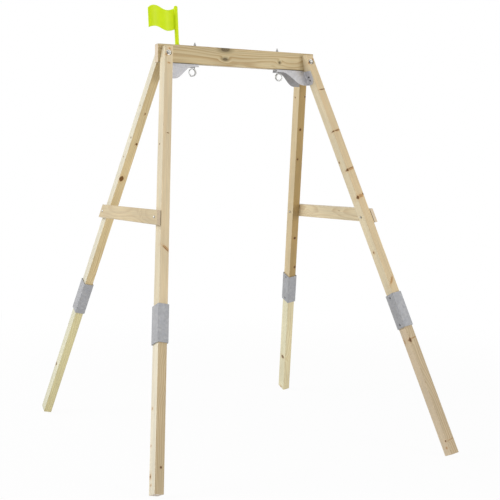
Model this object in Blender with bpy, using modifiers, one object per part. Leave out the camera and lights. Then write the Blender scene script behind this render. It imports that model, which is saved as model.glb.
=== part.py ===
"""Wooden swing frame: four splayed legs, one top beam, steel sleeves and brackets, two spiral hooks, a flag.

Metres, +Z up, +X along the beam to the right, -Y to the front. The origin is on the floor, midway
between the feet. Every moving piece hangs on an empty that stands on its joint's axis.
"""

import math

import bmesh
import bpy
from mathutils import Matrix, Vector

# The whole frame
BEAM_TOP = 2.090                    # floor to the top of the beam
SPLAY = math.radians(22.75)         # each leg away from the upright, front or back
LEAN = math.radians(10.7)           # each leg pair outward, left or right
CLEARANCE = 0.0003                  # between pieces that touch

# Timber
BEAM_LENGTH = 0.920
BEAM_THICK = 0.045
BEAM_HEIGHT = 0.095
LEG_WIDE = 0.045
LEG_DEEP = 0.065
LEG_BOLT_IN = 0.0415                # from each end of the beam to its leg bolt
LEG_TOP_DROP = 0.013                # the legs are cut level, this far under the beam's top
TIMBER_ARRIS = 0.0025
RAIL_HEIGHT = 0.072
RAIL_THICK = 0.022
RAIL_DROP = 0.8525                  # leg bolt to the middle of the rail, down the side of the legs

# Steel sleeves
SLEEVE_TOP = 1.352                  # leg bolt to the sleeve's upper edge, along the leg
SLEEVE_LENGTH = 0.186
SLEEVE_WALL = 0.0025
SLEEVE_GAP = 0.0032                 # between the timber and the wall, bridged by the dimples
SLEEVE_CORNER = 0.005
DIMPLE_RADIUS = 0.0085
SLEEVE_SCREW_END = 0.018            # each screw's distance from the sleeve's end
SLEEVE_DIMPLE_END = 0.054           # the plain dimples' distance
SLEEVE_DISH = 0.0015                # depth of the dish round each screw's head
SLEEVE_SCREW_HEAD = 0.0052
SLEEVE_SCREW_SHANK = 0.0022
SLEEVE_SCREW_LENGTH = 0.034

# Corner brackets
SHEET = 0.0025
BRACKET_REACH = 0.1865              # leg bolt to the tip, along the beam
BRACKET_TIP_DEPTH = 0.0140          # side plates under the beam at the tip
BRACKET_DEPTH = 0.082               # side plates under the beam at the legs
SWEEP_START = 0.1520                # leg bolt to where the plates' lower edge starts to sweep down
SWEEP_END = 0.0370                  # leg bolt to where it ends
SWEEP_STEPS = 10
BEND = 0.0032                       # the sheet's outer bending radius
FLANGE_NOTCH = 0.005
FLANGE_MARGIN = 0.004               # from the leg's outer face
FLANGE_DEPTH = 0.0755
FLANGE_CORNER = 0.026
FLANGE_SCREWS = {"upper": 0.0745, "lower": 0.0945}      # leg bolt to each screw, along the leg
FLANGE_SCREW_IN = 0.0365            # from the leg's outer face
FLANGE_SCREW_HEAD = 0.0048
FLANGE_SCREW_HEAD_THICK = 0.0028
FLANGE_SCREW_SHANK = 0.0022
FLANGE_SCREW_LENGTH = 0.035

# Leg bolts
LEG_BOLT = 0.0050
LEG_BOLT_HEAD_FLATS = 0.0160
LEG_BOLT_HEAD_THICK = 0.0064
LEG_BOLT_SEAT = 0.0150              # radius of the flat seat bored into the slanted face
LEG_BOLT_SEAT_SINK = 0.0008         # the seat's depth at its shallow side
LEG_WASHER = 0.0125
LEG_WASHER_THICK = 0.0020
LEG_NUT_FLATS = 0.0170
LEG_NUT_HEIGHT = 0.0085
LEG_NUT_DOME = 0.0070

# Rail bolts
RAIL_BOLT = 0.0030
RAIL_BOLT_HEAD = 0.0070
RAIL_BOLT_HEAD_THICK = 0.0040
RAIL_NUT_FLATS = 0.0100
RAIL_NUT_HEIGHT = 0.0055
RAIL_BOLT_PAST_NUT = 0.0025

# Swing hooks
HOOK_IN = 0.1740                    # leg bolt to the hook's shank
HOOK_ROD = 0.00325
LOOP_RADIUS = 0.0185                # to the middle of the rod
LOOP_OFFSET = 0.0100                # loop's middle, to one side of the shank
LOOP_DROP = 0.0415                  # loop's middle under the beam
LOOP_PITCH = 0.0100                 # a turn's step towards the front
LOOP_BEND = 0.0060                  # from the shank into the loop
LOOP_END = math.radians(660)        # where the rod ends, turning from the loop's outer side
LOOP_STEP = math.radians(12)
STUD_ABOVE = 0.0190
STUD_POINT = 0.0030
HOOK_NUT_FLATS = 0.0115
HOOK_NUT_HEIGHT = 0.0075
HOOK_WASHER = 0.0090
HOOK_WASHER_THICK = 0.0015
HOOK_COLLAR = 0.0070
HOOK_COLLAR_THICK = 0.0045

# Flag
FLAG_IN = 0.0740                    # left leg bolt to the foot of the pole
FLAG_TILT = math.radians(3.0)       # outward, as it stands in the photograph
POLE_RADIUS = 0.0106
POLE_HEIGHT = 0.2020
FOOT_RADIUS = 0.0128
FOOT_HEIGHT = 0.0065
FOOT_FLOOR = 0.0032                 # under the screw's head
SPIGOT_RADIUS = 0.0070
SPIGOT_HEIGHT = 0.0360
SPIGOT_FIT = 0.0004                 # all round, between the spigot and the pole's socket
SOCKET_SPACE = 0.0040               # over the spigot
PANEL_LENGTH = 0.1555               # from the pole's middle
PANEL_HEIGHT = 0.1070
PANEL_MIDDLE = 0.1380               # height of the panel's middle over the beam
PANEL_THICK = 0.0030
PANEL_RISE = 0.0113                 # the wave's height in the outline
PANEL_WAVE = 0.0090                 # the wave's depth, front to back
PANEL_PERIOD = 0.1660
PANEL_CREST = 0.1240                # the crest's distance from the pole's middle
PANEL_DROOP = 0.0070                # the upper corner's fall
PANEL_DROOP_START = 0.1300
PANEL_COLUMNS = 22
PANEL_ROWS = 4
FLAG_SCREW = 0.0025
FLAG_SCREW_HEAD = 0.0045
FLAG_SCREW_HEAD_THICK = 0.0030
FLAG_SCREW_LENGTH = 0.0400

# Places that follow from the sizes
BEAM_MIDDLE = BEAM_TOP - BEAM_HEIGHT / 2
BEAM_BOTTOM = BEAM_TOP - BEAM_HEIGHT
BEAM_FACE = BEAM_THICK / 2
LEG_BOLT_X = BEAM_LENGTH / 2 - LEG_BOLT_IN
BRACKET_TIP_X = LEG_BOLT_X - BRACKET_REACH
SWEEP_START_X = LEG_BOLT_X - SWEEP_START
SWEEP_END_X = LEG_BOLT_X - SWEEP_END
HOOK_X = LEG_BOLT_X - HOOK_IN
FLAG_X = FLAG_IN - LEG_BOLT_X
# The leg keeps its full depth at the beam's lower edge, where the seat that is cut into it ends.
LEG_REACH = LEG_DEEP / math.cos(SPLAY) - BEAM_HEIGHT / 2 * math.tan(SPLAY) / math.cos(LEAN)
LEG_FACE = BEAM_FACE + LEG_REACH
SLEEVE_MIDDLE = SLEEVE_TOP + SLEEVE_LENGTH / 2
SEAT_Y = LEG_FACE - LEG_BOLT_SEAT * math.tan(SPLAY) - LEG_BOLT_SEAT_SINK
FLANGE_OFF = LEG_WIDE / 2 + CLEARANCE + SHEET       # leg's middle plane to the flange's face

ROUND = 24                          # sides of a turned piece
SMALL_ROUND = 12                    # sides of a small one, such as a screw
SMALL_RADIUS = 0.0056
TURNED_OFF = 0.47                   # radius to which a hexagon's corners are turned off, in flats
DOME_ANGLES = (72, 54, 36, 18)      # of a domed end's rings, in degrees
SIDES = {"left": -1, "right": 1}
ENDS = {"front": -1, "back": 1}
ROWS = ("upper", "lower")

LOOKS = {
    "pine": ((0.68, 0.54, 0.33), 0.62, 0.0),
    "lower_pine": ((0.66, 0.57, 0.34), 0.62, 0.0),
    "galvanised": ((0.60, 0.61, 0.63), 0.42, 0.85),
    "zinc": ((0.72, 0.72, 0.70), 0.28, 0.95),
    "lime_plastic": ((0.56, 0.80, 0.01), 0.38, 0.0),
}


def clear_scene():
    for obj in list(bpy.data.objects):
        bpy.data.objects.remove(obj, do_unlink=True)


def new_collection(name):
    group = bpy.data.collections.new(name)
    bpy.context.scene.collection.children.link(group)
    return group


def make_materials():
    made = {}
    for name, (color, roughness, metallic) in LOOKS.items():
        material = bpy.data.materials.new(name)
        material.use_nodes = True
        shader = material.node_tree.nodes["Principled BSDF"]
        shader.inputs["Base Color"].default_value = (*color, 1.0)
        shader.inputs["Roughness"].default_value = roughness
        shader.inputs["Metallic"].default_value = metallic
        made[name] = material
    return made


def place(obj, name, frame, group, look=None):
    """Names an object, puts it in its collection and stands it in a frame."""
    obj.name = name
    for other in list(obj.users_collection):
        other.objects.unlink(obj)
    group.objects.link(obj)
    obj.matrix_world = frame
    if look:
        obj.data.materials.clear()
        obj.data.materials.append(MATERIALS[look])
    return obj


def mesh_object(shape, name, frame, group, look=None):
    mesh = bpy.data.meshes.new(name)
    shape.to_mesh(mesh)
    shape.free()
    return place(bpy.data.objects.new(name, mesh), name, frame, group, look)


def box(name, low, high, frame, group, look=None):
    """A box between two corners of its own frame."""
    low, high = Vector(low), Vector(high)
    shape = bmesh.new()
    bmesh.ops.create_cube(shape, size=1.0)
    bmesh.ops.scale(shape, vec=high - low, verts=shape.verts)
    bmesh.ops.translate(shape, vec=(low + high) / 2, verts=shape.verts)
    return mesh_object(shape, name, frame, group, look)


def sides(radius):
    return SMALL_ROUND if radius < SMALL_RADIUS else ROUND


def add_rod(shape, radius, start, end, end_radius=None):
    """Adds a closed cylinder or cone from start to end."""
    start, end = Vector(start), Vector(end)
    axis = end - start
    turn = axis.to_track_quat("Z", "Y").to_matrix().to_4x4()
    bmesh.ops.create_cone(
        shape, cap_ends=True, segments=sides(radius), radius1=radius,
        radius2=radius if end_radius is None else end_radius, depth=axis.length,
        matrix=Matrix.Translation((start + end) / 2) @ turn)


def cutter(name, rods):
    """One cutter made of several rods, given in world coordinates as (radius, start, end)."""
    shape = bmesh.new()
    for radius, start, end in rods:
        add_rod(shape, radius / math.cos(math.pi / sides(radius)), start, end)
    return hide(mesh_object(shape, name, Matrix(), CUTTERS))


def hide(obj):
    obj.hide_render = True
    obj.display_type = "WIRE"
    return obj


def combine(obj, other, operation):
    modifier = obj.modifiers.new(operation.title(), "BOOLEAN")
    modifier.operation = operation
    modifier.solver = "EXACT"
    modifier.use_self = True        # a cutter's rods may cross
    modifier.object = other


def bevel(obj, width, segments=2, angle=30):
    modifier = obj.modifiers.new("Rounded edges", "BEVEL")
    modifier.width = width
    modifier.segments = segments
    modifier.limit_method = "ANGLE"
    modifier.angle_limit = math.radians(angle)


def baked(obj):
    """Spends an object's modifiers on its mesh and shades it smooth up to its corners."""
    graph = bpy.context.evaluated_depsgraph_get()
    mesh = bpy.data.meshes.new_from_object(obj.evaluated_get(graph))
    obj.modifiers.clear()
    obj.data = mesh
    mesh.shade_smooth()
    mesh.set_sharp_from_angle(angle=math.radians(35))
    return obj


def turned(name, profile, frame, group, look=None, closed=False):
    """A piece turned about the frame's Z, from its (radius, height) profile down the outer side.

    The profile runs from axis to axis or, closed, all round a section that stays off the axis.
    """
    edges = [(index, index + 1) for index in range(len(profile) - 1)]
    if closed:
        edges.append((len(profile) - 1, 0))
    mesh = bpy.data.meshes.new(name)
    mesh.from_pydata([(radius, 0.0, height) for radius, height in profile], edges, [])
    obj = place(bpy.data.objects.new(name, mesh), name, frame, group, look)
    modifier = obj.modifiers.new("Turn", "SCREW")
    modifier.axis = "Z"
    modifier.steps = sides(max(radius for radius, height in profile))
    modifier.render_steps = modifier.steps
    modifier.use_merge_vertices = True
    modifier.merge_threshold = 0.00001
    return baked(obj)


def washer(name, inner, outer, thick, frame, look="zinc"):
    """A washer or a collar that lies on the frame's floor."""
    section = [(inner, thick), (outer, thick), (outer, 0.0), (inner, 0.0)]
    return turned(name, section, frame, PARTS, look, closed=True)


def screw(name, head, head_thick, shank, length, frame):
    """A round-headed screw whose head stands on the frame's floor."""
    profile = [(0.0, head_thick), (0.55 * head, 0.9 * head_thick), (0.9 * head, 0.5 * head_thick),
               (head, 0.0), (shank, 0.0), (shank, 2 * shank - length), (0.0, -length)]
    return turned(name, profile, frame, PARTS, "zinc")


def hexagon(name, flats, height, frame):
    """A nut's or a bolt head's hexagon on the frame's floor, with its upper corners turned off."""
    corner = flats / 2 / math.cos(math.pi / 6)
    shape = bmesh.new()
    bmesh.ops.create_cone(shape, cap_ends=True, segments=6, radius1=corner, radius2=corner, depth=height,
                          matrix=Matrix.Translation((0.0, 0.0, height / 2)))
    piece = mesh_object(shape, name, frame, PARTS, "zinc")
    flat = TURNED_OFF * flats
    fall = (corner - flat) / 2
    chamfer = [(0.0, height + CLEARANCE), (flat, height + CLEARANCE), (flat, height),
               (corner + fall, height - 2 * fall), (corner + fall, -height), (0.0, -height)]
    combine(piece, hide(turned(name + "_chamfer", chamfer, frame, CUTTERS)), "INTERSECT")
    return piece


def nut(name, hole, flats, height, frame):
    piece = hexagon(name, flats, height, frame)
    axis = frame.to_3x3() @ Vector((0.0, 0.0, 1.0))
    floor = frame.translation
    combine(piece, cutter(name + "_bore", [(hole, floor - axis * height, floor + axis * 2 * height)]), "DIFFERENCE")
    return baked(piece)


def rounded_corner(before, corner, after, radius, steps=5):
    """The arc that rounds a corner of a flat outline."""
    back, ahead = (before - corner).normalized(), (after - corner).normalized()
    half = back.angle(ahead) / 2
    middle = corner + (back + ahead).normalized() * (radius / math.sin(half))
    first = corner + back * (radius / math.tan(half)) - middle
    last = corner + ahead * (radius / math.tan(half)) - middle
    return [middle + first.lerp(last, step / steps).normalized() * radius for step in range(steps + 1)]


def aim(point, direction):
    """A frame at a point whose Z looks along a direction."""
    return Matrix.Translation(point) @ Vector(direction).to_track_quat("Z", "Y").to_matrix().to_4x4()


def side_frame(side):
    """On the leg bolt, in the plane of one leg pair: X square to the pair, Y front to back, Z up."""
    across = Vector((math.cos(LEAN), 0.0, side * math.sin(LEAN)))
    depth = Vector((0.0, 1.0, 0.0))
    up = across.cross(depth)
    turn = Matrix((across, depth, up)).transposed().to_4x4()
    return Matrix.Translation((side * LEG_BOLT_X, 0.0, BEAM_MIDDLE)) @ turn


def leg_frame(side, end):
    """On a leg's middle line beside the leg bolt: X across, Y deep, Z up along the leg."""
    outer = Vector((0.0, end * LEG_FACE, 0.0))
    turn = Matrix.Rotation(end * SPLAY, 4, "X")
    inward = turn @ Vector((0.0, -end * LEG_DEEP / 2, 0.0))
    return side_frame(side) @ Matrix.Translation(outer + inward) @ turn


def leg_point(side, end, along, across=0.0, deep=0.0):
    """A point on a leg: along it from the bolt down, across from its middle, deep from its outer face."""
    return leg_frame(side, end) @ Vector((across, end * (LEG_DEEP / 2 - deep), -along))


def leg_length(side, end):
    """From the leg bolt to the end of the foot, whose lowest corner stands on the floor."""
    rise = (leg_frame(side, end).to_3x3() @ Vector((0.0, 0.0, 1.0))).z
    low_corner = leg_point(side, end, 0.0, -side * LEG_WIDE / 2, LEG_DEEP)
    return low_corner.z / rise


def inner_side(side):
    """The direction across a leg that faces the middle of the frame."""
    return -side * (side_frame(side).to_3x3() @ Vector((1.0, 0.0, 0.0)))


def make_beam():
    half = BEAM_LENGTH / 2
    beam = box("top_beam", (-half, -BEAM_FACE, BEAM_BOTTOM), (half, BEAM_FACE, BEAM_TOP), Matrix(), PARTS, "pine")
    bevel(beam, TIMBER_ARRIS)
    rods = []
    for side in SIDES.values():
        x = side * LEG_BOLT_X
        rods.append((LEG_BOLT + CLEARANCE, (x, -BEAM_THICK, BEAM_MIDDLE), (x, BEAM_THICK, BEAM_MIDDLE)))
        x = side * HOOK_X
        rods.append((HOOK_ROD + CLEARANCE, (x, 0.0, BEAM_BOTTOM - SHEET), (x, 0.0, BEAM_TOP + SHEET)))
    axis = FLAG_FRAME.to_3x3() @ Vector((0.0, 0.0, 1.0))
    foot = FLAG_FRAME.translation
    depth = FLAG_SCREW_LENGTH - FOOT_FLOOR + CLEARANCE
    rods.append((FLAG_SCREW + CLEARANCE, foot - axis * depth, foot + axis * FOOT_HEIGHT))
    combine(beam, cutter("beam_holes", rods), "DIFFERENCE")


def rail_bolt_place(side, end):
    """Where a rail bolt crosses the leg's middle plane, in the side frame."""
    deep = LEG_FACE - LEG_DEEP / 2 / math.cos(SPLAY) + RAIL_DROP * math.tan(SPLAY)
    return Vector((0.0, end * deep, -RAIL_DROP))


def timber(name, side, end, start, stop, look):
    """A length of leg, between two distances from the leg bolt."""
    half = Vector((LEG_WIDE / 2, LEG_DEEP / 2, 0.0))
    leg = box(name, (-half.x, -half.y, -stop), (half.x, half.y, -start), leg_frame(side, end), PARTS, look)
    bevel(leg, TIMBER_ARRIS)
    return leg


def sleeve_screw_place(side, end, row, off):
    """On the timber under a sleeve, a distance from the sleeve's upper or lower end."""
    along = SLEEVE_TOP + off if row == "upper" else SLEEVE_TOP + SLEEVE_LENGTH - off
    return leg_point(side, end, along, -side * LEG_WIDE / 2, LEG_DEEP / 2)


def sleeve_pilot(side, end, row):
    """The hole for the sleeve's screw in the upper or the lower leg."""
    inward = inner_side(side)
    face = sleeve_screw_place(side, end, row, SLEEVE_SCREW_END)
    return (SLEEVE_SCREW_SHANK + CLEARANCE, face - inward * SLEEVE_SCREW_LENGTH, face + inward * SHEET)


def flange_screw_place(side, end, along):
    """Where a flange screw meets the leg's inner side."""
    return leg_point(side, end, along, -side * LEG_WIDE / 2, FLANGE_SCREW_IN)


def make_leg(side_name, end_name):
    side, end = SIDES[side_name], ENDS[end_name]
    place_name = f"{end_name}_{side_name}"
    upper = timber("upper_leg_" + place_name, side, end, -BEAM_HEIGHT, SLEEVE_MIDDLE - CLEARANCE / 2, "pine")
    x = side * LEG_BOLT_X
    reach = LEG_DEEP + BEAM_THICK
    face = end * (BEAM_FACE + CLEARANCE)
    far = -end * reach
    low_y, high_y = min(face, far), max(face, far)
    seat = box("seat_" + place_name, (x - reach, low_y, BEAM_BOTTOM - reach), (x + reach, high_y, BEAM_TOP + reach),
               Matrix(), CUTTERS)
    combine(upper, hide(seat), "DIFFERENCE")
    level = BEAM_TOP - LEG_TOP_DROP
    top = box("level_" + place_name, (x - reach, -2 * reach, level), (x + reach, 2 * reach, level + 2 * reach),
              Matrix(), CUTTERS)
    combine(upper, hide(top), "DIFFERENCE")
    out = end * 2 * reach
    rods = [(LEG_BOLT + CLEARANCE, (x, 0.0, BEAM_MIDDLE), (x, out, BEAM_MIDDLE)),
            (LEG_BOLT_SEAT, (x, end * SEAT_Y, BEAM_MIDDLE), (x, out, BEAM_MIDDLE))]
    frame = side_frame(side)
    bolt = rail_bolt_place(side, end)
    wide = Vector((LEG_WIDE, 0.0, 0.0))
    rods.append((RAIL_BOLT + CLEARANCE, frame @ (bolt - wide), frame @ (bolt + wide)))
    inward = inner_side(side)
    for along in FLANGE_SCREWS.values():
        spot = flange_screw_place(side, end, along)
        rods.append((FLANGE_SCREW_SHANK + CLEARANCE, spot - inward * FLANGE_SCREW_LENGTH, spot + inward * SHEET))
    rods.append(sleeve_pilot(side, end, "upper"))
    combine(upper, cutter("upper_holes_" + place_name, rods), "DIFFERENCE")
    lower = timber("lower_leg_" + place_name, side, end, SLEEVE_MIDDLE + CLEARANCE / 2, leg_length(side, end),
                   "lower_pine")
    combine(lower, cutter("lower_hole_" + place_name, [sleeve_pilot(side, end, "lower")]), "DIFFERENCE")


def make_sleeve(side_name, end_name):
    """A folded tube whose dimples reach the timber, two with screws and two without."""
    side, end = SIDES[side_name], ENDS[end_name]
    place_name = f"{end_name}_{side_name}"
    proud = SLEEVE_GAP + SLEEVE_WALL
    shape = bmesh.new()
    bmesh.ops.create_cube(shape, size=1.0)
    size = Vector((LEG_WIDE + 2 * proud, LEG_DEEP + 2 * proud, SLEEVE_LENGTH))
    bmesh.ops.scale(shape, vec=size, verts=shape.verts)
    bmesh.ops.translate(shape, vec=(0.0, 0.0, -SLEEVE_MIDDLE), verts=shape.verts)
    ends = [face for face in shape.faces if abs(face.normal.z) > 0.5]
    bmesh.ops.delete(shape, geom=ends, context="FACES_ONLY")
    upright = [edge for edge in shape.edges if abs((edge.verts[0].co - edge.verts[1].co).z) > 0.5 * SLEEVE_LENGTH]
    bmesh.ops.bevel(shape, geom=upright, offset=SLEEVE_CORNER, segments=4, profile=0.5, affect="EDGES")
    sleeve = mesh_object(shape, "leg_sleeve_" + place_name, leg_frame(side, end), PARTS, "galvanised")
    wall = sleeve.modifiers.new("Wall", "SOLIDIFY")
    wall.thickness = SLEEVE_WALL
    wall.offset = -1.0
    wall.use_even_offset = True
    inward = inner_side(side)
    dimples, sinks = bmesh.new(), bmesh.new()
    hole = SLEEVE_SCREW_SHANK + CLEARANCE
    within_hole = hole - 2 * CLEARANCE
    head_depth = SLEEVE_DISH + SLEEVE_SCREW_HEAD - SLEEVE_SCREW_SHANK
    for row in ROWS:
        for off in (SLEEVE_SCREW_END, SLEEVE_DIMPLE_END):
            timber_face = sleeve_screw_place(side, end, row, off)
            outer = timber_face + inward * proud
            past = outer + inward * CLEARANCE
            add_rod(dimples, DIMPLE_RADIUS, timber_face + inward * CLEARANCE, outer - inward * SLEEVE_WALL / 2)
            if off == SLEEVE_SCREW_END:
                add_rod(sinks, hole, timber_face - inward * SHEET, past)
                low = outer - inward * (head_depth + 3 * CLEARANCE)
                add_rod(sinks, within_hole, low, past, within_hole + (past - low).length)
            else:
                add_rod(sinks, within_hole, outer - inward * SLEEVE_DISH, past, DIMPLE_RADIUS - 3 * CLEARANCE)
    combine(sleeve, hide(mesh_object(dimples, "dimples_" + place_name, Matrix(), CUTTERS)), "UNION")
    combine(sleeve, hide(mesh_object(sinks, "sinks_" + place_name, Matrix(), CUTTERS)), "DIFFERENCE")


def make_sleeve_screws(side_name, end_name):
    """Two countersunk screws through the sleeve, one in each leg."""
    side, end = SIDES[side_name], ENDS[end_name]
    top = SLEEVE_GAP + SLEEVE_WALL - SLEEVE_DISH
    neck = top - SLEEVE_SCREW_HEAD + SLEEVE_SCREW_SHANK
    profile = [(0.0, top), (SLEEVE_SCREW_HEAD, top), (SLEEVE_SCREW_SHANK, neck),
               (SLEEVE_SCREW_SHANK, 2 * SLEEVE_SCREW_SHANK - SLEEVE_SCREW_LENGTH), (0.0, -SLEEVE_SCREW_LENGTH)]
    for row in ROWS:
        frame = aim(sleeve_screw_place(side, end, row, SLEEVE_SCREW_END), inner_side(side))
        turned(f"sleeve_screw_{row}_{end_name}_{side_name}", profile, frame, PARTS, "zinc")


def make_rail(side_name):
    """The rail on the outer side of a pair of legs, its ends flush with the legs' faces."""
    side = SIDES[side_name]
    low_x = LEG_WIDE / 2 + CLEARANCE
    shape = bmesh.new()
    bmesh.ops.create_cube(shape, size=1.0)
    for vert in shape.verts:
        down = RAIL_DROP - vert.co.z * RAIL_HEIGHT
        reach = LEG_FACE + down * math.tan(SPLAY)
        across = side * (low_x + (0.5 + side * vert.co.x) * RAIL_THICK)
        vert.co = (across, math.copysign(reach, vert.co.y), -down)
    frame = side_frame(side)
    rail = mesh_object(shape, "cross_rail_" + side_name, frame, PARTS, "pine")
    bevel(rail, TIMBER_ARRIS)
    wide = Vector((LEG_WIDE, 0.0, 0.0))
    rods = []
    for end in ENDS.values():
        bolt = rail_bolt_place(side, end)
        rods.append((RAIL_BOLT + CLEARANCE, frame @ (bolt - wide), frame @ (bolt + wide)))
    combine(rail, cutter("rail_holes_" + side_name, rods), "DIFFERENCE")


def make_rail_bolt(side_name, end_name):
    """A round-headed bolt through the rail and a leg, with its nut on the leg's inner side."""
    side, end = SIDES[side_name], ENDS[end_name]
    place_name = f"{end_name}_{side_name}"
    outward = -inner_side(side)
    middle = side_frame(side) @ rail_bolt_place(side, end)
    under_head = LEG_WIDE / 2 + RAIL_THICK + 2 * CLEARANCE
    nut_floor = LEG_WIDE / 2 + CLEARANCE
    length = under_head + nut_floor + RAIL_NUT_HEIGHT + RAIL_BOLT_PAST_NUT
    thick, head = RAIL_BOLT_HEAD_THICK, RAIL_BOLT_HEAD
    profile = [(0.0, thick), (0.45 * head, 0.93 * thick), (0.8 * head, 0.62 * thick), (head, 0.15 * thick),
               (head, 0.0), (RAIL_BOLT, 0.0), (RAIL_BOLT, 0.3 * RAIL_BOLT - length),
               (0.7 * RAIL_BOLT, -length), (0.0, -length)]
    bolt_frame = aim(middle + outward * under_head, outward)
    turned("rail_bolt_" + place_name, profile, bolt_frame, PARTS, "zinc")
    nut("rail_nut_" + place_name, RAIL_BOLT + CLEARANCE, RAIL_NUT_FLATS, RAIL_NUT_HEIGHT,
        aim(middle - outward * nut_floor, -outward))


def make_leg_bolt(side_name):
    """The bolt that clamps both legs to the beam: its head at the back, a domed nut in front."""
    x = SIDES[side_name] * LEG_BOLT_X
    backward = Vector((0.0, 1.0, 0.0))
    floor = Vector((x, SEAT_Y + LEG_WASHER_THICK + 2 * CLEARANCE, BEAM_MIDDLE))
    bolt_frame = aim(floor, backward)
    bolt = hexagon("leg_bolt_" + side_name, LEG_BOLT_HEAD_FLATS, LEG_BOLT_HEAD_THICK, bolt_frame)
    end = 2 * floor.y + LEG_NUT_HEIGHT
    shank = [(0.0, LEG_BOLT_HEAD_THICK / 2), (LEG_BOLT, LEG_BOLT_HEAD_THICK / 2),
             (LEG_BOLT, 0.3 * LEG_BOLT - end), (0.7 * LEG_BOLT, -end), (0.0, -end)]
    combine(bolt, hide(turned("leg_shank_" + side_name, shank, bolt_frame, CUTTERS)), "UNION")
    baked(bolt)
    nut_frame = aim((x, -floor.y, BEAM_MIDDLE), -backward)
    cap = hexagon("leg_nut_" + side_name, LEG_NUT_FLATS, LEG_NUT_HEIGHT, nut_frame)
    radius = 0.4 * LEG_NUT_FLATS
    dome = [(radius * math.cos(angle), LEG_NUT_HEIGHT + LEG_NUT_DOME * math.sin(angle))
            for angle in map(math.radians, DOME_ANGLES)]
    profile = [(0.0, LEG_NUT_HEIGHT + LEG_NUT_DOME)] + dome + [(radius, LEG_NUT_HEIGHT),
                                                              (radius, LEG_NUT_HEIGHT / 2),
                                                              (0.0, LEG_NUT_HEIGHT / 2)]
    combine(cap, hide(turned("leg_dome_" + side_name, profile, nut_frame, CUTTERS)), "UNION")
    low = Vector((x, -floor.y, BEAM_MIDDLE))
    bore = (LEG_BOLT + CLEARANCE, low + backward * LEG_NUT_HEIGHT,
            low - backward * (LEG_NUT_HEIGHT + CLEARANCE))
    combine(cap, cutter("leg_nut_bore_" + side_name, [bore]), "DIFFERENCE")
    baked(cap)
    for end_name, end in ENDS.items():
        seat = aim((x, end * (SEAT_Y + CLEARANCE), BEAM_MIDDLE), backward * end)
        washer(f"leg_bolt_washer_{end_name}_{side_name}", LEG_BOLT + CLEARANCE, LEG_WASHER, LEG_WASHER_THICK, seat)


def fold_drop(depth):
    """Leg bolt to a depth under the bracket's top, down the plane of the bracket's flanges."""
    low = BEAM_HEIGHT / 2 + CLEARANCE + depth
    return (low - FLANGE_OFF * math.sin(LEAN)) / math.cos(LEAN)


def fold_place(side, y, depth):
    """A point on the face of a bracket's flange, at a depth under the bracket's top."""
    return side_frame(side) @ Vector((-side * FLANGE_OFF, y, -fold_drop(depth)))


def flange_edge(depth):
    """The flange's outer edge, a margin inside the leg's outer face."""
    return LEG_FACE + fold_drop(depth) * math.tan(SPLAY) - FLANGE_MARGIN / math.cos(SPLAY)


def plate_face(depth):
    """How far a bracket's side plate stands from the middle: it flares with the legs, along their back edges."""
    return BEAM_FACE + depth * math.tan(SPLAY) / math.cos(LEAN)


def plate_sweep():
    """The S-shaped lower edge of a bracket's side plate, as (x, depth under its top)."""
    points = []
    for step in range(SWEEP_STEPS + 1):
        share = step / SWEEP_STEPS
        fall = (1 - math.cos(math.pi * share)) / 2
        points.append((SWEEP_START_X + share * (SWEEP_END_X - SWEEP_START_X),
                       BRACKET_TIP_DEPTH + fall * (BRACKET_DEPTH - BRACKET_TIP_DEPTH)))
    return points


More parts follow.
